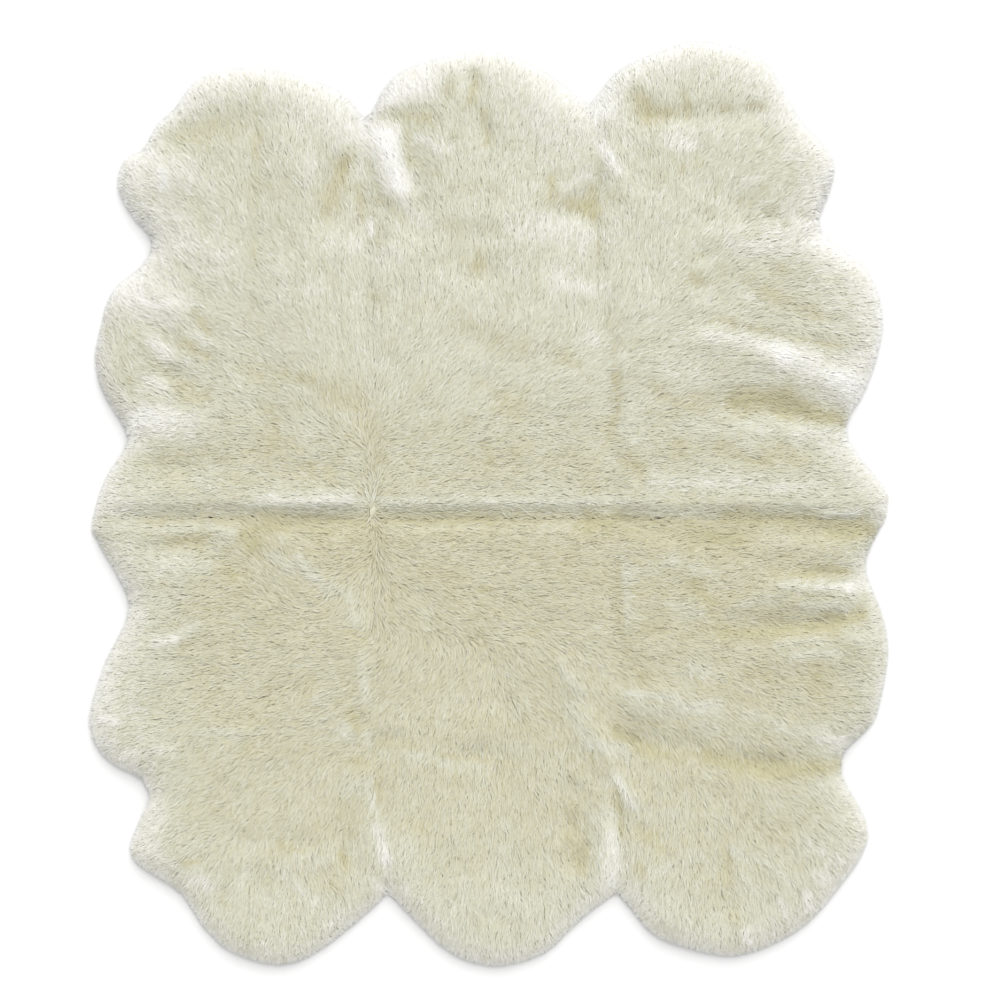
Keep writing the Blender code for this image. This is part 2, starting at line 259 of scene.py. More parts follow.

# Marks that the fleece shows, whiter where it stands up and creamier where it sinks, their
# whiteness also painted light and shade on the colour: from x, y, to x, y, half width, whiteness
MARKS = (
    # top left
    (-0.66, 0.750, -0.52, 0.780, 0.040, -0.25),
    (-0.60, 0.750, -0.56, 0.710, 0.050, -0.10),
    (-0.48, 0.860, -0.48, 0.500, 0.018, -0.14),
    (-0.48, 0.750, -0.475, 0.700, 0.020, -0.12),
    (-0.485, 0.500, -0.48, 0.400, 0.020, -0.08),
    (-0.50, 0.660, -0.43, 0.660, 0.030, -0.08),
    (-0.67, 0.680, -0.665, 0.650, 0.018, 0.30),
    (-0.71, 0.660, -0.69, 0.660, 0.020, 0.10),
    (-0.63, 0.680, -0.58, 0.650, 0.030, 0.10),
    (-0.60, 0.610, -0.58, 0.550, 0.020, -0.12),
    (-0.53, 0.580, -0.51, 0.550, 0.020, -0.10),
    (-0.43, 0.580, -0.40, 0.540, 0.020, -0.15),
    (-0.44, 0.620, -0.41, 0.650, 0.030, -0.06),
    (-0.37, 0.700, -0.37, 0.660, 0.020, 0.08),
    (-0.30, 0.690, -0.33, 0.610, 0.035, -0.35),
    (-0.275, 0.720, -0.30, 0.680, 0.020, -0.20),
    (-0.265, 0.640, -0.265, 0.580, 0.020, -0.25),
    (-0.267, 0.730, -0.285, 0.660, 0.010, 0.15),
    (-0.245, 0.570, -0.245, 0.550, 0.012, 0.35),
    (-0.225, 0.560, -0.235, 0.530, 0.015, -0.15),
    (-0.64, 0.490, -0.575, 0.420, 0.014, -0.15),
    (-0.60, 0.390, -0.575, 0.355, 0.016, -0.30),
    (-0.62, 0.325, -0.575, 0.300, 0.018, -0.25),
    (-0.68, 0.285, -0.58, 0.220, 0.020, -0.15),
    (-0.64, 0.235, -0.60, 0.210, 0.020, -0.15),
    (-0.69, 0.330, -0.665, 0.305, 0.020, 0.35),
    (-0.60, 0.345, -0.57, 0.330, 0.012, 0.25),
    (-0.655, 0.300, -0.62, 0.285, 0.015, 0.15),
    (-0.69, 0.250, -0.66, 0.235, 0.020, 0.25),
    (-0.72, 0.175, -0.62, 0.170, 0.040, 0.30),
    (-0.61, 0.130, -0.60, 0.130, 0.020, 0.15),
    (-0.73, 0.420, -0.63, 0.400, 0.040, 0.20),
    (-0.68, 0.385, -0.65, 0.370, 0.020, 0.10),
    (-0.77, 0.380, -0.76, 0.260, 0.050, -0.15),
    (-0.735, 0.250, -0.725, 0.190, 0.015, -0.15),
    (-0.74, 0.080, -0.58, 0.100, 0.030, -0.15),
    (-0.66, 0.060, -0.62, 0.060, 0.030, -0.10),
    (-0.49, 0.370, -0.44, 0.360, 0.025, -0.12),
    (-0.50, 0.270, -0.40, 0.260, 0.030, -0.15),
    (-0.38, 0.250, -0.36, 0.240, 0.020, -0.20),
    (-0.33, 0.215, -0.27, 0.190, 0.030, -0.22),
    (-0.30, 0.240, -0.26, 0.220, 0.030, -0.12),
    (-0.44, 0.190, -0.44, 0.120, 0.025, -0.15),
    (-0.50, 0.100, -0.35, 0.100, 0.100, -0.10),
    (-0.38, 0.150, -0.35, 0.140, 0.015, 0.12),
    (-0.36, 0.110, -0.33, 0.100, 0.025, 0.12),
    (-0.50, 0.080, -0.47, 0.080, 0.012, 0.15),
    (-0.59, 0.050, -0.56, 0.030, 0.020, 0.12),
    (-0.36, 0.080, -0.355, 0.050, 0.015, -0.15),
    (-0.32, 0.080, -0.31, 0.040, 0.020, -0.15),
    (-0.47, 0.005, -0.28, 0.005, 0.022, 0.30),
    (-0.24, 0.420, -0.22, 0.410, 0.020, -0.20),
    (-0.24, 0.280, -0.22, 0.270, 0.015, 0.15),
    (-0.25, 0.150, -0.23, 0.080, 0.020, -0.12),
    (-0.37, 0.490, -0.33, 0.470, 0.020, -0.08),
    (-0.42, 0.430, -0.36, 0.430, 0.030, 0.08),
    (-0.32, 0.530, -0.28, 0.520, 0.025, 0.10),
    (-0.60, 0.530, -0.55, 0.500, 0.050, 0.08),
    # top centre
    (-0.21, 0.750, -0.18, 0.650, 0.040, 0.45),
    (-0.25, 0.700, -0.22, 0.620, 0.010, -0.20),
    (-0.21, 0.830, -0.13, 0.860, 0.035, 0.20),
    (-0.21, 0.800, -0.12, 0.790, 0.028, -0.35),
    (-0.165, 0.760, -0.16, 0.700, 0.015, -0.25),
    (-0.15, 0.700, -0.10, 0.670, 0.030, -0.15),
    (-0.14, 0.745, -0.08, 0.720, 0.012, 0.15),
    (-0.03, 0.880, -0.035, 0.820, 0.018, -0.40),
    (-0.08, 0.870, -0.08, 0.840, 0.018, -0.25),
    (-0.01, 0.800, 0.00, 0.740, 0.016, -0.30),
    (-0.06, 0.800, -0.065, 0.750, 0.015, -0.12),
    (0.10, 0.830, 0.14, 0.700, 0.050, 0.08),
    (0.125, 0.660, 0.125, 0.630, 0.018, -0.35),
    (0.14, 0.700, 0.15, 0.660, 0.030, -0.12),
    (0.155, 0.645, 0.20, 0.670, 0.015, 0.15),
    (0.17, 0.610, 0.21, 0.590, 0.025, -0.40),
    (0.21, 0.640, 0.21, 0.600, 0.022, -0.35),
    (0.222, 0.580, 0.228, 0.480, 0.010, -0.25),
    (0.10, 0.610, 0.15, 0.605, 0.020, -0.15),
    (0.06, 0.560, 0.20, 0.550, 0.050, 0.15),
    (-0.11, 0.555, 0.00, 0.560, 0.030, -0.15),
    (-0.02, 0.500, -0.03, 0.465, 0.018, -0.25),
    (-0.08, 0.500, 0.02, 0.480, 0.040, -0.12),
    (-0.04, 0.500, -0.035, 0.500, 0.015, 0.15),
    (-0.13, 0.620, -0.13, 0.610, 0.020, -0.15),
    (-0.07, 0.640, -0.03, 0.650, 0.020, -0.10),
    (0.00, 0.660, 0.02, 0.620, 0.012, -0.12),
    (-0.16, 0.600, -0.10, 0.530, 0.015, 0.12),
    (-0.20, 0.520, -0.18, 0.510, 0.020, 0.12),
    (-0.20, 0.600, -0.18, 0.575, 0.015, -0.20),
    (-0.23, 0.610, -0.20, 0.620, 0.020, -0.20),
    (0.04, 0.420, 0.045, 0.390, 0.020, -0.12),
    (-0.06, 0.360, 0.06, 0.310, 0.040, -0.15),
    (-0.16, 0.395, -0.15, 0.395, 0.020, -0.10),
    (0.13, 0.450, 0.22, 0.430, 0.025, 0.20),
    (0.20, 0.340, 0.20, 0.340, 0.030, 0.12),
    (0.12, 0.310, 0.18, 0.270, 0.020, -0.15),
    (0.11, 0.265, 0.17, 0.265, 0.012, 0.10),
    (-0.04, 0.250, -0.02, 0.240, 0.015, -0.12),
    (0.01, 0.215, 0.015, 0.215, 0.020, -0.20),
    (0.03, 0.190, 0.07, 0.190, 0.040, -0.12),
    (-0.15, 0.220, -0.12, 0.200, 0.030, -0.10),
    (-0.02, 0.120, -0.015, 0.080, 0.015, -0.20),
    (0.03, 0.100, 0.035, 0.100, 0.015, -0.12),
    (0.06, 0.120, 0.06, 0.120, 0.030, -0.08),
    (0.18, 0.040, 0.18, 0.040, 0.020, -0.15),
    (0.245, 0.370, 0.25, 0.300, 0.010, -0.15),
    (0.25, 0.270, 0.255, 0.200, 0.012, -0.30),
    (0.25, 0.190, 0.235, 0.140, 0.012, -0.25),
    (0.26, 0.300, 0.28, 0.280, 0.015, 0.15),
    (0.28, 0.200, 0.28, 0.170, 0.020, 0.12),
    (-0.20, 0.080, 0.20, 0.080, 0.130, -0.08),
    (-0.25, 0.000, 0.28, 0.005, 0.014, 0.20),
    # top right
    (0.32, 0.810, 0.34, 0.790, 0.035, -0.50),
    (0.31, 0.840, 0.31, 0.840, 0.030, -0.25),
    (0.37, 0.800, 0.42, 0.800, 0.020, -0.30),
    (0.40, 0.840, 0.41, 0.820, 0.018, -0.30),
    (0.46, 0.810, 0.50, 0.810, 0.018, -0.25),
    (0.535, 0.815, 0.56, 0.810, 0.015, -0.50),
    (0.24, 0.810, 0.24, 0.810, 0.040, 0.15),
    (0.35, 0.770, 0.40, 0.755, 0.030, 0.12),
    (0.37, 0.735, 0.42, 0.730, 0.015, 0.20),
    (0.44, 0.760, 0.47, 0.750, 0.020, 0.10),
    (0.235, 0.730, 0.27, 0.680, 0.018, 0.35),
    (0.225, 0.700, 0.23, 0.660, 0.010, -0.20),
    (0.25, 0.620, 0.27, 0.620, 0.025, -0.20),
    (0.395, 0.685, 0.40, 0.680, 0.013, -0.25),
    (0.35, 0.670, 0.35, 0.650, 0.015, -0.15),
    (0.42, 0.700, 0.45, 0.690, 0.015, -0.12),
    (0.47, 0.650, 0.465, 0.630, 0.012, -0.20),
    (0.34, 0.710, 0.38, 0.710, 0.020, -0.10),
    (0.55, 0.760, 0.58, 0.750, 0.025, -0.15),
    (0.55, 0.720, 0.555, 0.720, 0.012, -0.20),
    (0.61, 0.690, 0.62, 0.660, 0.018, -0.20),
    (0.515, 0.615, 0.56, 0.640, 0.020, -0.20),
    (0.565, 0.600, 0.58, 0.600, 0.016, -0.30),
    (0.60, 0.575, 0.605, 0.575, 0.012, -0.20),
    (0.64, 0.610, 0.66, 0.580, 0.020, -0.15),
    (0.45, 0.590, 0.455, 0.590, 0.010, -0.15),
    (0.52, 0.660, 0.55, 0.670, 0.015, 0.10),
    (0.44, 0.560, 0.66, 0.570, 0.020, 0.10),
    (0.50, 0.530, 0.70, 0.540, 0.030, 0.12),
    (0.48, 0.470, 0.62, 0.450, 0.070, -0.12),
    (0.42, 0.500, 0.45, 0.510, 0.015, -0.20),
    (0.41, 0.460, 0.43, 0.450, 0.020, -0.25),
    (0.58, 0.490, 0.60, 0.480, 0.020, -0.20),
    (0.55, 0.440, 0.66, 0.400, 0.020, -0.18),
    (0.45, 0.375, 0.49, 0.375, 0.015, -0.30),
    (0.50, 0.365, 0.72, 0.330, 0.015, -0.25),
    (0.65, 0.390, 0.71, 0.385, 0.012, -0.20),
    (0.70, 0.470, 0.71, 0.470, 0.015, -0.15),
    (0.44, 0.490, 0.47, 0.505, 0.010, 0.12),
    (0.50, 0.440, 0.53, 0.420, 0.015, 0.15),
    (0.44, 0.350, 0.60, 0.315, 0.030, 0.20),
    (0.60, 0.310, 0.74, 0.250, 0.050, 0.35),
    (0.52, 0.255, 0.58, 0.255, 0.010, 0.15),
    (0.50, 0.215, 0.60, 0.220, 0.035, -0.40),
    (0.60, 0.200, 0.72, 0.175, 0.030, -0.60),
    (0.49, 0.200, 0.54, 0.195, 0.015, -0.20),
    (0.33, 0.240, 0.35, 0.220, 0.020, -0.25),
    (0.37, 0.200, 0.43, 0.210, 0.025, -0.20),
    (0.31, 0.180, 0.38, 0.180, 0.012, -0.12),
    (0.50, 0.165, 0.57, 0.150, 0.015, 0.15),
    (0.62, 0.145, 0.68, 0.150, 0.020, 0.15),
    (0.36, 0.270, 0.45, 0.260, 0.030, 0.12),
    (0.27, 0.150, 0.27, 0.150, 0.030, 0.10),
    (0.38, 0.120, 0.38, 0.120, 0.020, -0.20),
    (0.35, 0.100, 0.45, 0.110, 0.030, -0.12),
    (0.47, 0.120, 0.50, 0.100, 0.020, -0.20),
    (0.53, 0.090, 0.57, 0.090, 0.015, -0.30),
    (0.60, 0.110, 0.63, 0.090, 0.030, -0.20),
    (0.28, 0.090, 0.30, 0.070, 0.022, -0.30),
    (0.42, 0.050, 0.50, 0.060, 0.020, 0.10),
    (0.33, 0.045, 0.68, 0.030, 0.020, 0.18),
    # along the seam between the rows: painted shade below the ridge, where the fleece also sinks
    (-0.78, -0.034, 0.78, -0.034, 0.012, -0.14),
    # bottom left
    (-0.65, -0.055, -0.52, -0.055, 0.020, 0.20),
    (-0.65, -0.080, -0.58, -0.075, 0.022, -0.20),
    (-0.66, -0.130, -0.58, -0.130, 0.035, 0.25),
    (-0.56, -0.090, -0.52, -0.070, 0.020, 0.20),
    (-0.50, -0.070, -0.42, -0.050, 0.020, -0.30),
    (-0.48, -0.095, -0.48, -0.100, 0.022, -0.30),
    (-0.42, -0.050, -0.26, -0.045, 0.025, -0.15),
    (-0.53, -0.140, -0.52, -0.145, 0.022, -0.20),
    (-0.445, -0.115, -0.40, -0.140, 0.016, 0.20),
    (-0.42, -0.085, -0.42, -0.080, 0.012, 0.20),
    (-0.385, -0.120, -0.32, -0.180, 0.018, 0.25),
    (-0.39, -0.120, -0.39, -0.120, 0.010, -0.15),
    (-0.29, -0.180, -0.27, -0.240, 0.020, 0.15),
    (-0.68, -0.290, -0.64, -0.285, 0.014, 0.35),
    (-0.64, -0.280, -0.59, -0.250, 0.013, 0.20),
    (-0.63, -0.300, -0.60, -0.290, 0.010, -0.15),
    (-0.70, -0.265, -0.64, -0.250, 0.013, -0.10),
    (-0.72, -0.050, -0.72, -0.500, 0.110, 0.15),
    (-0.79, -0.350, -0.80, -0.480, 0.050, 0.12),
    (-0.79, -0.445, -0.76, -0.445, 0.015, 0.20),
    (-0.73, -0.420, -0.70, -0.430, 0.012, 0.12),
    (-0.68, -0.510, -0.65, -0.510, 0.015, 0.10),
    (-0.60, -0.470, -0.50, -0.475, 0.014, 0.15),
    (-0.35, -0.395, -0.33, -0.390, 0.015, 0.15),
    (-0.36, -0.260, -0.34, -0.270, 0.015, 0.10),
    (-0.66, -0.350, -0.66, -0.350, 0.020, 0.10),
    (-0.36, -0.365, -0.36, -0.365, 0.025, -0.12),
    (-0.45, -0.380, -0.44, -0.410, 0.020, -0.12),
    (-0.55, -0.440, -0.47, -0.440, 0.020, -0.08),
    (-0.49, -0.505, -0.48, -0.505, 0.015, -0.10),
    (-0.27, -0.270, -0.25, -0.275, 0.012, -0.15),
    (-0.255, -0.310, -0.25, -0.400, 0.015, 0.20),
    (-0.275, -0.430, -0.265, -0.460, 0.014, -0.35),
    (-0.29, -0.460, -0.28, -0.480, 0.020, 0.25),
    (-0.245, -0.470, -0.24, -0.490, 0.010, 0.20),
    (-0.27, -0.525, -0.24, -0.530, 0.013, -0.25),
    (-0.245, -0.555, -0.29, -0.585, 0.013, 0.20),
    (-0.245, -0.570, -0.235, -0.630, 0.010, 0.25),
    (-0.23, -0.560, -0.225, -0.600, 0.010, -0.20),
    (-0.23, -0.660, -0.215, -0.730, 0.018, 0.40),
    (-0.29, -0.630, -0.29, -0.630, 0.030, -0.12),
    (-0.305, -0.725, -0.30, -0.740, 0.015, -0.40),
    (-0.34, -0.660, -0.30, -0.680, 0.040, -0.10),
    (-0.43, -0.630, -0.43, -0.630, 0.020, -0.10),
    (-0.50, -0.695, -0.45, -0.700, 0.008, 0.15),
    (-0.40, -0.720, -0.36, -0.730, 0.010, 0.15),
    (-0.43, -0.700, -0.385, -0.710, 0.010, -0.25),
    (-0.44, -0.740, -0.40, -0.780, 0.014, 0.15),
    (-0.40, -0.790, -0.36, -0.810, 0.014, 0.22),
    (-0.36, -0.770, -0.28, -0.800, 0.030, -0.12),
    (-0.53, -0.810, -0.49, -0.740, 0.012, 0.12),
    (-0.55, -0.800, -0.54, -0.820, 0.015, -0.12),
    (-0.46, -0.770, -0.46, -0.770, 0.012, -0.10),
    (-0.47, -0.810, -0.42, -0.820, 0.012, 0.12),
    (-0.68, -0.640, -0.70, -0.720, 0.050, 0.12),
    (-0.61, -0.770, -0.58, -0.780, 0.020, 0.20),
    (-0.625, -0.740, -0.61, -0.735, 0.012, -0.30),
    # bottom centre
    (-0.22, -0.030, 0.00, -0.035, 0.012, -0.15),
    (-0.10, -0.070, -0.08, -0.080, 0.012, -0.15),
    (0.18, -0.040, 0.25, -0.030, 0.020, -0.15),
    (0.10, -0.050, 0.12, -0.060, 0.030, 0.10),
    (-0.03, -0.180, 0.01, -0.165, 0.008, -0.20),
    (0.05, -0.270, 0.09, -0.260, 0.008, -0.15),
    (0.00, -0.220, 0.00, -0.220, 0.015, -0.12),
    (0.14, -0.320, 0.18, -0.380, 0.016, 0.20),
    (0.16, -0.420, 0.20, -0.470, 0.025, 0.20),
    (0.12, -0.420, 0.12, -0.420, 0.020, -0.08),
    (0.22, -0.420, 0.22, -0.430, 0.012, -0.15),
    (-0.22, -0.485, -0.15, -0.490, 0.018, -0.12),
    (-0.10, -0.510, 0.05, -0.530, 0.007, -0.25),
    (-0.22, -0.505, -0.08, -0.520, 0.012, 0.12),
    (-0.10, -0.530, 0.02, -0.535, 0.012, 0.12),
    (-0.10, -0.450, -0.08, -0.400, 0.020, 0.10),
    (-0.15, -0.655, -0.14, -0.660, 0.025, -0.20),
    (-0.17, -0.690, -0.165, -0.720, 0.020, 0.15),
    (0.165, -0.620, 0.175, -0.740, 0.030, -0.20),
    (0.19, -0.700, 0.19, -0.760, 0.020, -0.15),
    (0.07, -0.660, 0.07, -0.660, 0.012, -0.10),
    (0.24, -0.640, 0.25, -0.760, 0.035, 0.25),
    (0.255, -0.670, 0.27, -0.740, 0.010, 0.15),
    (0.21, -0.640, 0.21, -0.640, 0.020, 0.10),
    (0.27, -0.630, 0.275, -0.680, 0.010, -0.35),
    (0.26, -0.580, 0.265, -0.620, 0.010, -0.25),
    (-0.05, -0.810, 0.08, -0.810, 0.040, 0.10),
    (0.255, -0.120, 0.255, -0.270, 0.010, -0.20),
    (0.27, -0.120, 0.275, -0.260, 0.013, 0.18),
    # bottom right
    (0.20, -0.050, 0.50, -0.070, 0.035, -0.12),
    (0.42, -0.070, 0.52, -0.080, 0.030, -0.12),
    (0.50, -0.030, 0.68, -0.040, 0.030, -0.15),
    (0.70, -0.060, 0.79, -0.055, 0.025, -0.50),
    (0.68, -0.025, 0.75, -0.020, 0.013, 0.35),
    (0.60, 0.000, 0.70, 0.000, 0.015, 0.10),
    (0.33, -0.035, 0.33, -0.035, 0.008, -0.25),
    (0.26, -0.025, 0.29, -0.035, 0.007, -0.20),
    (0.48, -0.025, 0.50, -0.020, 0.007, -0.25),
    (0.30, -0.020, 0.45, -0.020, 0.015, 0.12),
    (0.53, -0.090, 0.62, -0.075, 0.015, 0.10),
    (0.65, -0.145, 0.73, -0.140, 0.016, -0.35),
    (0.58, -0.140, 0.66, -0.150, 0.015, -0.10),
    (0.60, -0.170, 0.74, -0.175, 0.015, 0.32),
    (0.64, -0.210, 0.73, -0.210, 0.013, 0.25),
    (0.74, -0.170, 0.77, -0.170, 0.030, 0.20),
    (0.27, -0.150, 0.37, -0.120, 0.014, 0.15),
    (0.37, -0.125, 0.45, -0.140, 0.014, 0.15),
    (0.41, -0.170, 0.45, -0.200, 0.022, -0.25),
    (0.33, -0.200, 0.43, -0.230, 0.012, 0.15),
    (0.51, -0.210, 0.60, -0.190, 0.012, 0.15),
    (0.28, -0.265, 0.48, -0.265, 0.020, -0.10),
    (0.48, -0.270, 0.70, -0.255, 0.025, -0.25),
    (0.70, -0.245, 0.76, -0.230, 0.020, -0.45),
    (0.55, -0.230, 0.60, -0.230, 0.020, -0.10),
    (0.58, -0.290, 0.68, -0.280, 0.015, 0.20),
    (0.62, -0.315, 0.70, -0.310, 0.013, 0.25),
    (0.73, -0.270, 0.76, -0.280, 0.020, 0.15),
    (0.66, -0.360, 0.68, -0.400, 0.035, -0.20),
    (0.53, -0.350, 0.62, -0.360, 0.020, -0.10),
    (0.50, -0.390, 0.55, -0.400, 0.010, -0.12),
    (0.31, -0.360, 0.30, -0.345, 0.015, -0.20),
    (0.41, -0.330, 0.44, -0.350, 0.020, 0.20),
    (0.27, -0.390, 0.38, -0.395, 0.012, 0.30),
    (0.28, -0.420, 0.36, -0.425, 0.018, 0.15),
    (0.39, -0.420, 0.46, -0.415, 0.020, 0.30),
    (0.42, -0.455, 0.46, -0.460, 0.020, 0.15),
    (0.52, -0.430, 0.60, -0.450, 0.012, 0.15),
    (0.56, -0.465, 0.68, -0.465, 0.012, 0.15),
    (0.67, -0.485, 0.73, -0.490, 0.015, 0.25),
    (0.25, -0.460, 0.31, -0.495, 0.016, -0.35),
    (0.30, -0.490, 0.34, -0.505, 0.020, -0.20),
    (0.33, -0.510, 0.45, -0.510, 0.020, -0.15),
    (0.45, -0.520, 0.58, -0.540, 0.025, -0.35),
    (0.56, -0.545, 0.72, -0.540, 0.025, -0.45),
    (0.21, -0.490, 0.28, -0.505, 0.020, 0.25),
    (0.26, -0.555, 0.30, -0.620, 0.015, 0.35),
    (0.31, -0.675, 0.34, -0.680, 0.020, -0.30),
    (0.34, -0.700, 0.37, -0.705, 0.012, -0.20),
    (0.31, -0.740, 0.32, -0.760, 0.015, -0.25),
    (0.32, -0.620, 0.40, -0.640, 0.020, 0.12),
    (0.34, -0.755, 0.44, -0.720, 0.012, 0.12),
    (0.49, -0.720, 0.49, -0.780, 0.015, -0.25),
    (0.50, -0.705, 0.56, -0.735, 0.009, 0.20),
    (0.57, -0.740, 0.62, -0.780, 0.009, 0.20),
    (0.52, -0.770, 0.55, -0.800, 0.010, 0.20),
    (0.60, -0.810, 0.61, -0.850, 0.010, 0.25),
    (0.65, -0.800, 0.66, -0.830, 0.012, 0.25),
    (0.67, -0.760, 0.69, -0.770, 0.018, 0.22),
    (0.72, -0.735, 0.72, -0.735, 0.015, 0.15),
    (0.53, -0.880, 0.54, -0.900, 0.012, 0.30),
    (0.50, -0.840, 0.51, -0.860, 0.020, -0.15),
    (0.57, -0.680, 0.63, -0.660, 0.020, -0.12),
    (0.66, -0.700, 0.70, -0.720, 0.040, 0.12),
)


class Field:
    """Numbers on a square grid over the rug, read smoothly between its points."""

    def __init__(self, values, low):
        self.values = values
        self.low = low

    def at(self, points):
        place = (points - self.low) / GRID
        most = np.array(self.values.shape[1::-1]) - 1.001
        place = np.clip(place, 0, most)
        column, row = place.astype(int).T
        across, along = (place % 1).T
        values, beyond = self.values, row + 1
        near = values[row, column] * (1 - across) + values[row, column + 1] * across
        far = values[beyond, column] * (1 - across) + values[beyond, column + 1] * across
        return near * (1 - along) + far * along


def softened(values, rounds):
    """A grid's values, each averaged with its neighbours this many times."""
    for _ in range(rounds):
        for axis in (0, 1):
            values = (np.roll(values, 1, axis) + 2 * values + np.roll(values, -1, axis)) / 4
    return values


def grid_points(low, high, step=GRID):
    x, y = np.meshgrid(np.arange(low[0], high[0], step), np.arange(low[1], high[1], step))
    return np.stack([x, y], axis=-1)


def ripple(points, size, layer):
    """Smooth noise of about this size, between -1 and 1. Each layer is another pattern."""
    return np.array([noise.noise(Vector((x, y, layer))) for x, y in points / size])


def ripples(points, layers):
    """The sum of several ripples, from rows of height, size and layer."""
    return sum(height * ripple(points, size, layer) for height, size, layer in layers)


def triangular_grid(low, high, step):
    x, y = np.meshgrid(
        np.arange(low[0], high[0], step), np.arange(low[1], high[1], step * math.sqrt(0.75))
    )
    x[1::2] += step / 2
    return np.column_stack([x.ravel(), y.ravel()])


def inside(points, outline):
    """Which points lie inside a closed outline, by counting the sides to their right."""
    start, end = outline, np.roll(outline, -1, axis=0)
    x, y = points[:, :1], points[:, 1:]
    crossed = (start[:, 1] > y) != (end[:, 1] > y)
    run, climb = (end - start).T
    slope = run / np.where(climb == 0, 1, climb)
    return (crossed & (x < start[:, 0] + (y - start[:, 1]) * slope)).sum(axis=1) % 2 == 1


def signed_area(outline):
    """A closed outline's area, less than zero when it runs clockwise."""
    after = np.roll(outline, -1, axis=0)
    return (outline[:, 0] * after[:, 1] - outline[:, 1] * after[:, 0]).sum() / 2


def cad_outline(node):
    """The clockwise outline of a pelt's flat underside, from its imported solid."""
    bm = bmesh.new()
    bm.from_mesh(node.data)
    bmesh.ops.remove_doubles(bm, verts=bm.verts, dist=1e-5)
    bm.normal_update()
    beside = {}
    for edge in bm.edges:
        low = all(vert.co.z < 1e-4 for vert in edge.verts)
        if low and any(abs(face.normal.z) < 0.5 for face in edge.link_faces):
            first, second = edge.verts
            beside.setdefault(first, []).append(second)
            beside.setdefault(second, []).append(first)
    start = before = next(iter(beside))
    vert = beside[start][0]
    loop = [start.co.xy[:]]
    while vert != start:
        loop.append(vert.co.xy[:])
        before, vert = vert, next(other for other in beside[vert] if other != before)
    bm.free()
    loop = np.array(loop)
    return loop[::-1] if signed_area(loop) > 0 else loop


def tree_of(points):
    tree = kdtree.KDTree(len(points))
    for index, (x, y) in enumerate(points):
        tree.insert((x, y, 0), index)
    tree.balance()
    return tree


def nearest(tree, points):
    """Each point's distance to the closest point in a tree."""
    return np.array([tree.find((x, y, 0))[2] for x, y in points])


def along_outline(outline, step=0.003):
    """Points close together along each side of an outline, one array to a side."""
    sides = []
    for start, end in zip(outline, np.roll(outline, -1, axis=0)):
        count = max(2, math.ceil(np.linalg.norm(end - start) / step) + 1)
        sides.append(start + (end - start) * np.linspace(0, 1, count)[:, None])
    return sides


def on_free_edge(name, outlines):
    """Which points of a pelt's outline are sewn to no other pelt."""
    others = [outline for other, outline in outlines.items() if other != name]
    points = np.vstack([side for outline in others for side in along_outline(outline)])
    return nearest(tree_of(points), outlines[name]) > SEWN_GAP


def edge_points(outlines, free_wanted):
    """Points close together along all of the rug's free edges, or along all of its seams."""
    points = []
    for name, outline in outlines.items():
        free = on_free_edge(name, outlines)
        wanted = (free | np.roll(free, -1)) == free_wanted
        points += [side for side, kept in zip(along_outline(outline), wanted) if kept]
    return np.vstack(points)


def stroke_share(grid, x, y, to_x, to_y, half_width):
    """How much of a soft stroke falls on each point of a grid, from 0 to 1."""
    start = np.array([x, y])
    along = (to_x, to_y) - start
    share = ((grid - start) @ along) / max(along @ along, 1e-9)
    off = grid - start - np.clip(share, 0, 1)[..., None] * along
    return np.exp(-(off**2).sum(axis=-1) / (half_width * MARK_FALL) ** 2)


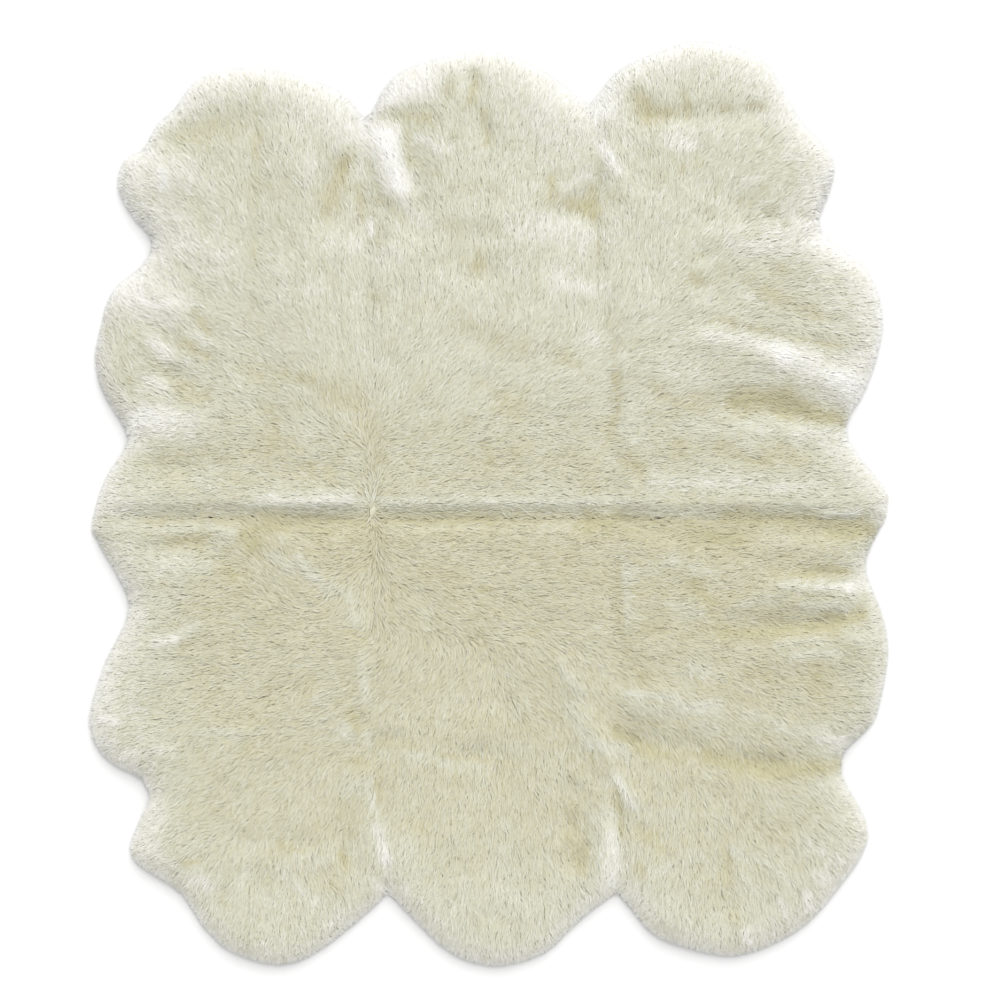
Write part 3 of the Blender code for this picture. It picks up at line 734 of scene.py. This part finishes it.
class Rug:
    """What the fleece follows: its top, its slopes, its edge and seams, its combing and tint, which
    holds painted light and shade.
    """

    def __init__(self, outlines):
        low = np.array(CAD_BOX[0].xy) - GRID_MARGIN
        grid = grid_points(low, np.array(CAD_BOX[1].xy) + GRID_MARGIN)
        flat = grid.reshape(-1, 2)
        shape = grid.shape[:2]
        top = self.cad_top(flat).reshape(shape)
        edge = nearest(tree_of(edge_points(outlines, True)), flat).reshape(shape)
        edge = np.where(top > 0, edge, -edge)
        seam = nearest(tree_of(edge_points(outlines, False)), flat).reshape(shape)
        # the marks' painted light and shade on the tint, which also raise and sink the fleece
        marks_light_and_shade = sum(stroke_share(grid, *mark[:5]) * mark[5] for mark in MARKS)
        lift = MARK_RISE * np.clip(marks_light_and_shade, -MARK_MOST, MARK_MOST)
        lift += ripples(flat, TUFTS).reshape(shape)
        top = top + lift * np.clip(edge / RIM_LEVEL, 0, 1)
        tint = marks_light_and_shade + np.interp(grid[..., 1], *zip(*TINT_ALONG))
        # painted light at the edge, whiter as if lit through the thin fleece
        tint += RIM_PAINTED_LIGHT * np.exp(-np.maximum(edge, 0) / RIM_FADE)
        self.top = Field(np.maximum(top, LEAST_TOP), low)
        self.edge = Field(edge, low)
        self.tint = Field(tint, low)
        slope_y, slope_x = np.gradient(softened(self.top.values, SLOPE_ROUNDS), GRID)
        flatter = RIM_SLOPE + (1 - RIM_SLOPE) * np.clip(edge / RIM_BAND, 0, 1)
        flatter *= SEAM_SLOPE + (1 - SEAM_SLOPE) * np.clip(seam / SEAM_BAND, 0, 1)
        slope_x, slope_y = slope_x * flatter, slope_y * flatter
        self.slope_x, self.slope_y = Field(slope_x, low), Field(slope_y, low)
        combing = self.combed(grid, edge)
        self.comb_x, self.comb_y = Field(combing[..., 0], low), Field(combing[..., 1], low)

    @staticmethod
    def cad_top(points):
        """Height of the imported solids' top at each point, with their hairline gaps closed."""
        corners, faces = [], []
        for node in NODES.values():
            first = len(corners)
            faces += [[first + index for index in face.vertices] for face in node.data.polygons]
            corners += [vert.co.copy() for vert in node.data.vertices]
        tree = BVHTree.FromPolygons(corners, faces)
        down, high = Vector((0, 0, -1)), CAD_BOX[1].z + 0.1
        top = np.zeros(len(points))
        for shift in (0, NUDGE, -NUDGE):
            for index in np.flatnonzero(top == 0):
                x, y = points[index] + shift
                hit = tree.ray_cast((x, y, high), down)[0]
                top[index] = hit.z if hit else 0
        return top

    @staticmethod
    def combed(grid, edge):
        """The wool's direction, blended between the combing table's rows and outward at the rim."""
        total = np.zeros(grid.shape)
        for x, y, heading in COMBING:
            weight = 1 / (((grid - (x, y)) ** 2).sum(axis=2) + COMB_BLUR**2) ** 2
            angle = math.radians(heading)
            total += weight[..., None] * (math.cos(angle), math.sin(angle))
        total /= np.linalg.norm(total, axis=2, keepdims=True)
        outward = -np.stack(np.gradient(edge, GRID)[::-1], axis=-1)
        turn = RIM_TURN * np.clip(1 - edge / RIM_REACH, 0, 1)[..., None]
        return total * (1 - turn) + outward * turn

    def normals(self, points):
        """Upward unit normals of the rug's own softened slope."""
        normal = np.column_stack([-self.slope_x.at(points), -self.slope_y.at(points)])
        normal = np.column_stack([normal, np.ones(len(points))])
        return normal / np.linalg.norm(normal, axis=1, keepdims=True)


def inset(outline, distance):
    """A clockwise outline's points, each moved in by its own distance along its corner's mitre."""
    side = outline - np.roll(outline, 1, axis=0)
    side /= np.linalg.norm(side, axis=1, keepdims=True)
    arriving = side[:, ::-1] * (1, -1)
    leaving = np.roll(arriving, -1, axis=0)
    spread = 1 + (arriving * leaving).sum(axis=1, keepdims=True)
    return outline + distance[:, None] * (arriving + leaving) / spread


def cut_back(name, outlines, distance):
    """A pelt's outline, cut back from its free edge and not from its seams."""
    free = on_free_edge(name, outlines).astype(float)
    eased = (free + np.roll(free, 1) + np.roll(free, -1)) / 3
    return inset(outlines[name], distance * np.minimum(free, eased) + 0.0003)


def piece_name(kind, name):
    return f"{kind}_{name.removeprefix('pelt_')}"


def new_piece(name, mesh, material):
    """A piece that rides on the rug, in one of its material slots."""
    mesh.materials.append(material)
    piece = bpy.data.objects.new(name, mesh)
    bpy.context.scene.collection.objects.link(piece)
    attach(piece, "root")
    return piece


def slab_mesh(name, outline, heights, floor, step=None):
    """A closed body on a flat underside, whose top stands at the heights of its points."""
    points = outline
    if step:
        grid = triangular_grid(outline.min(axis=0), outline.max(axis=0), step)
        grid = grid[inside(grid, inset(outline, np.full(len(outline), step * 0.6)))]
        points = np.vstack([outline, grid])
    border = [list(range(len(outline)))]
    flat = [Vector(point) for point in points]
    top, _, faces, *_ = geometry.delaunay_2d_cdt(flat, [], border, 1, 1e-6)
    bm = bmesh.new()
    levels = heights(np.array(top))
    verts = [bm.verts.new((*point, level)) for point, level in zip(top, levels)]
    for face in faces:
        bm.faces.new([verts[index] for index in face])
    rim = [edge for edge in bm.edges if edge.is_boundary]
    for item in bmesh.ops.extrude_edge_only(bm, edges=rim)["geom"]:
        if isinstance(item, bmesh.types.BMVert):
            item.co.z = floor
    low = [edge for edge in bm.edges if edge.is_boundary]
    bmesh.ops.contextual_create(bm, geom=low)
    bmesh.ops.recalc_face_normals(bm, faces=bm.faces)
    mesh = bpy.data.meshes.new(name)
    bm.to_mesh(mesh)
    bm.free()
    mesh.shade_smooth()
    mesh.set_sharp_from_angle(angle=1.0)
    return mesh


def make_hide(name, outlines, material):
    """One pelt's thin skin, and its outline."""
    outline = cut_back(name, outlines, HIDE_INSET)

    def heights(points):
        return np.full(len(points), HIDE_HIGH)

    mesh = slab_mesh(piece_name("hide", name), outline, heights, HIDE_LOW)
    return new_piece(mesh.name, mesh, material), outline


def make_coat(name, outlines, rug, material):
    """One pelt's dense wool, under the tips of its strands."""
    outline = cut_back(name, outlines, COAT_INSET)

    def heights(points):
        return np.maximum(rug.top.at(points) - COAT_DEPTH, HIDE_HIGH + 0.001)

    mesh = slab_mesh(piece_name("undercoat", name), outline, heights, HIDE_HIGH, COAT_STEP)
    return new_piece(mesh.name, mesh, material)


def strand_roots(outline, rug, spacing, rng):
    """Scattered points inside a pelt's outline, a little in from the rug's free edge."""
    roots = triangular_grid(outline.min(axis=0), outline.max(axis=0), spacing)
    roots += rng.normal(0, spacing * ROOT_JITTER, roots.shape)
    roots = roots[inside(roots, outline)]
    return roots[rug.edge.at(roots) > ROOT_INSET]


def strand_tints(roots, rug, rng):
    """How white each strand is, from 0 for deep cream to 1 for white, with the painted light and
    shade of the marks and the rim.
    """
    tint = rug.tint.at(roots) + ripples(roots, TINT_PATCHES)
    return np.clip(tint + rng.normal(0, TINT_JITTER, len(roots)), *TINT_RANGE)


def strand_lengths(roots, ahead, rug, length, rng):
    """Each strand's length, cut at the rim so that its tip stays near the edge."""
    length = length * rng.uniform(*LENGTH_RANGE, len(roots))
    fuzz = rng.uniform(*RIM_FUZZ, len(roots))
    for _ in range(3):
        beyond = -rug.edge.at(roots + ahead[:, :2] * length[:, None]) - fuzz
        length = np.maximum(length - np.maximum(beyond, 0), SHORTEST)
    return length


def strand_bundle(outline, rug, spacing, length, rings, whiter_as_highlight, rng):
    """Points, normals, tints and shares along of one kind of strand, one row to a strand."""
    roots = strand_roots(outline, rug, spacing, rng)
    count = len(roots)
    heading = np.arctan2(rug.comb_y.at(roots), rug.comb_x.at(roots))
    heading += ripples(roots, HEADING_SWIRLS) + rng.normal(0, HEADING_JITTER, count)
    ahead = np.column_stack([np.cos(heading), np.sin(heading), np.zeros(count)])
    side = np.column_stack([-ahead[:, 1], ahead[:, 0], np.zeros(count)])
    length = strand_lengths(roots, ahead, rug, length, rng)
    centre = (np.floor(roots / LOCK_SIZE) + 0.5) * LOCK_SIZE
    pull = LOCK_PULL * ((centre - roots) * side[:, :2]).sum(axis=1)
    bend = rng.normal(0, BEND_JITTER, count) * length
    wave = rng.uniform(0, 2 * math.pi, count)
    roll = np.clip(rng.normal(0, ROLL_JITTER, count), -MOST_ROLL, MOST_ROLL)
    lift = rng.normal(0, LIFT_JITTER, count)
    base = np.maximum(rug.top.at(roots) - COAT_DEPTH - ROOT_DEPTH, HIDE_HIGH)
    flank = side * np.cos(roll)[:, None] + np.outer(np.sin(roll), (0, 0, 1))
    middles = []
    for share, _ in rings:
        sway = pull * share + bend * share**2 + CRIMP * np.sin(wave + CRIMP_TURN * share)
        place = roots + (ahead * (length * share**1.2)[:, None] + side * sway[:, None])[:, :2]
        rise = math.sin(math.pi / 2 * min(1, share / RISEN))
        height = base + (rug.top.at(place) + lift - base) * rise - TIP_DROOP * share**4
        middles.append(np.column_stack([place, np.maximum(height, 2 * LOWEST)]))
    points, normals, shares = [], [], []
    for step, (share, width) in enumerate(rings):
        middle = middles[step]
        run = middles[min(step + 1, len(rings) - 1)] - middles[max(step - 1, 0)]
        own = np.cross(run, flank)
        own /= np.linalg.norm(own, axis=1, keepdims=True)
        normal = rug.normals(middle[:, :2]) * SOFTNESS + own * (1 - SOFTNESS)
        for half in (-width / 2, width / 2) if width else (0,):
            points.append(middle + flank * half)
            normals.append(normal)
            shares.append(share)
    points = np.stack(points, axis=1)
    points[..., 2] = np.maximum(points[..., 2], LOWEST)
    tints = np.clip(strand_tints(roots, rug, rng) + whiter_as_highlight, *TINT_RANGE)
    return points, np.stack(normals, axis=1), tints, shares


def strand_faces(rings, count, first):
    """Faces of strands that begin and end in a point, with a pair of points to each ring."""
    size = 2 * len(rings) - 2
    faces = [(0, 1, 2)]
    faces += [(step, step + 2, step + 3, step + 1) for step in range(1, size - 3, 2)]
    faces.append((size - 3, size - 1, size - 2))
    start = first + np.arange(count)[:, None] * size
    return [row for face in faces for row in (start + face).tolist()]


def make_fleece(name, outlines, rug, material, seed):
    """One pelt's combed wool, as one mesh of both kinds of strand."""
    rng = np.random.default_rng(seed)
    points, normals, across, along, faces = [], [], [], [], []
    total = 0
    for spacing, length, rings, whiter_as_highlight in STRAND_KINDS:
        place, normal, tint, shares = strand_bundle(
            outlines[name], rug, spacing, length, rings, whiter_as_highlight, rng
        )
        count, size = place.shape[:2]
        sides = np.array([0] + [-1, 1] * (len(rings) - 2) + [0]) * TINT_SPREAD
        faces += strand_faces(rings, count, total)
        total += count * size
        points.append(place.reshape(-1, 3))
        normals.append(normal.reshape(-1, 3))
        across.append((tint[:, None] + sides).ravel())
        along.append(np.tile(shares, count))
    mesh = bpy.data.meshes.new(piece_name("fleece", name))
    mesh.from_pydata(np.vstack(points).tolist(), [], faces)
    loops = np.zeros(len(mesh.loops), dtype=int)
    mesh.loops.foreach_get("vertex_index", loops)
    places = np.column_stack([np.concatenate(across), np.concatenate(along)])[loops]
    mesh.uv_layers.new(name="OFBake").uv.foreach_set("vector", places.ravel())
    mesh.shade_smooth()
    mesh.normals_split_custom_set_from_vertices(np.vstack(normals).tolist())
    return new_piece(mesh.name, mesh, material)


def principled(name, roughness, sheen):
    material = bpy.data.materials.new(name)
    material.use_nodes = True
    shader = material.node_tree.nodes["Principled BSDF"]
    shader.inputs["Roughness"].default_value = roughness
    shader.inputs["Sheen Weight"].default_value = sheen
    shader.inputs["Specular IOR Level"].default_value = 0.2
    return material, material.node_tree, shader


def ramp(tree, stops):
    """A colour ramp with a stop at each place and colour."""
    node = tree.nodes.new("ShaderNodeValToRGB")
    node.color_ramp.interpolation = "LINEAR"
    while len(node.color_ramp.elements) < len(stops):
        node.color_ramp.elements.new(0.5)
    for element, (place, colour) in zip(node.color_ramp.elements, stops):
        element.position = place
        element.color = (*colour, 1)
    return node


def strand_material():
    """Cream at the root and whiter at the tip, partly painted shade deep in the pile, in each
    strand's own tint, which carries painted light and shade.
    """
    material, tree, shader = principled("combed_wool", 0.8, 0.15)
    uv = tree.nodes.new("ShaderNodeUVMap")
    uv.uv_map = "OFBake"
    split = tree.nodes.new("ShaderNodeSeparateXYZ")
    tint = ramp(tree, TINT_RAMP)
    along = ramp(tree, ALONG_RAMP)
    mix = tree.nodes.new("ShaderNodeMix")
    mix.data_type = "RGBA"
    mix.blend_type = "MULTIPLY"
    mix.inputs["Factor"].default_value = 1
    tree.links.new(uv.outputs["UV"], split.inputs["Vector"])
    tree.links.new(split.outputs["X"], tint.inputs["Fac"])
    tree.links.new(split.outputs["Y"], along.inputs["Fac"])
    tree.links.new(tint.outputs["Color"], mix.inputs["A"])
    tree.links.new(along.outputs["Color"], mix.inputs["B"])
    tree.links.new(mix.outputs["Result"], shader.inputs["Base Color"])
    return material


def noise_material(name, stops, scale, sheen, bump):
    """A dull surface with a fine grain in its colour and its relief."""
    material, tree, shader = principled(name, 0.9, sheen)
    place = tree.nodes.new("ShaderNodeTexCoord")
    grain = tree.nodes.new("ShaderNodeTexNoise")
    grain.inputs["Scale"].default_value = scale
    grain.inputs["Detail"].default_value = 6
    colour = ramp(tree, stops)
    relief = tree.nodes.new("ShaderNodeBump")
    relief.inputs["Strength"].default_value = 0.6
    relief.inputs["Distance"].default_value = bump
    tree.links.new(place.outputs["Object"], grain.inputs["Vector"])
    tree.links.new(grain.outputs["Fac"], colour.inputs["Fac"])
    tree.links.new(colour.outputs["Color"], shader.inputs["Base Color"])
    tree.links.new(grain.outputs["Fac"], relief.inputs["Height"])
    tree.links.new(relief.outputs["Normal"], shader.inputs["Normal"])
    return material


def make_floor():
    bm = bmesh.new()
    bmesh.ops.create_grid(bm, x_segments=1, y_segments=1, size=FLOOR_HALF)
    mesh = bpy.data.meshes.new("floor")
    bm.to_mesh(mesh)
    bm.free()
    material, _, shader = principled("pale_floor", 0.9, 0)
    shader.inputs["Base Color"].default_value = (*FLOOR_COLOUR, 1)
    mesh.materials.append(material)
    floor = bpy.data.objects.new("floor", mesh)
    bpy.context.scene.collection.objects.link(floor)


def make_light():
    world = bpy.data.worlds.new("studio")
    world.use_nodes = True
    world.node_tree.nodes["Background"].inputs["Color"].default_value = (1, 1, 1, 1)
    world.node_tree.nodes["Background"].inputs["Strength"].default_value = FILL_STRENGTH
    bpy.context.scene.world = world
    key = bpy.data.lights.new("key", "SUN")
    key.energy = KEY_STRENGTH
    key.angle = math.radians(KEY_SPREAD)
    lamp = bpy.data.objects.new("key", key)
    lamp.rotation_mode = "QUATERNION"
    lamp.rotation_quaternion = Vector(KEY_FROM).to_track_quat("Z", "Y")
    bpy.context.scene.collection.objects.link(lamp)


def make_camera():
    data = bpy.data.cameras.new("camera")
    data.lens = LENS_MM
    data.sensor_width = SENSOR_MM
    data.clip_end = 100
    camera = bpy.data.objects.new("camera", data)
    camera.location = (*VIEW_CENTRE, FOCUS_HEIGHT + VIEW_WIDTH * LENS_MM / SENSOR_MM)
    bpy.context.scene.collection.objects.link(camera)
    bpy.context.scene.camera = camera


def main():
    outlines = {name: cad_outline(node) for name, node in sorted(NODES.items())}
    rug = Rug(outlines)
    wool = strand_material()
    coat = noise_material("undercoat_wool", COAT_RAMP, scale=60, sheen=0.1, bump=0.002)
    suede = noise_material("suede_hide", SUEDE_RAMP, scale=90, sheen=0.3, bump=0.0006)
    for seed, name in enumerate(outlines):
        hide, cut = make_hide(name, outlines, suede)
        undercoat = make_coat(name, outlines, rug, coat)
        fleece = make_fleece(name, outlines, rug, wool, seed)
        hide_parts(name)
    make_floor()
    make_light()
    make_camera()
    bpy.context.scene.view_settings.view_transform = "Standard"


main()
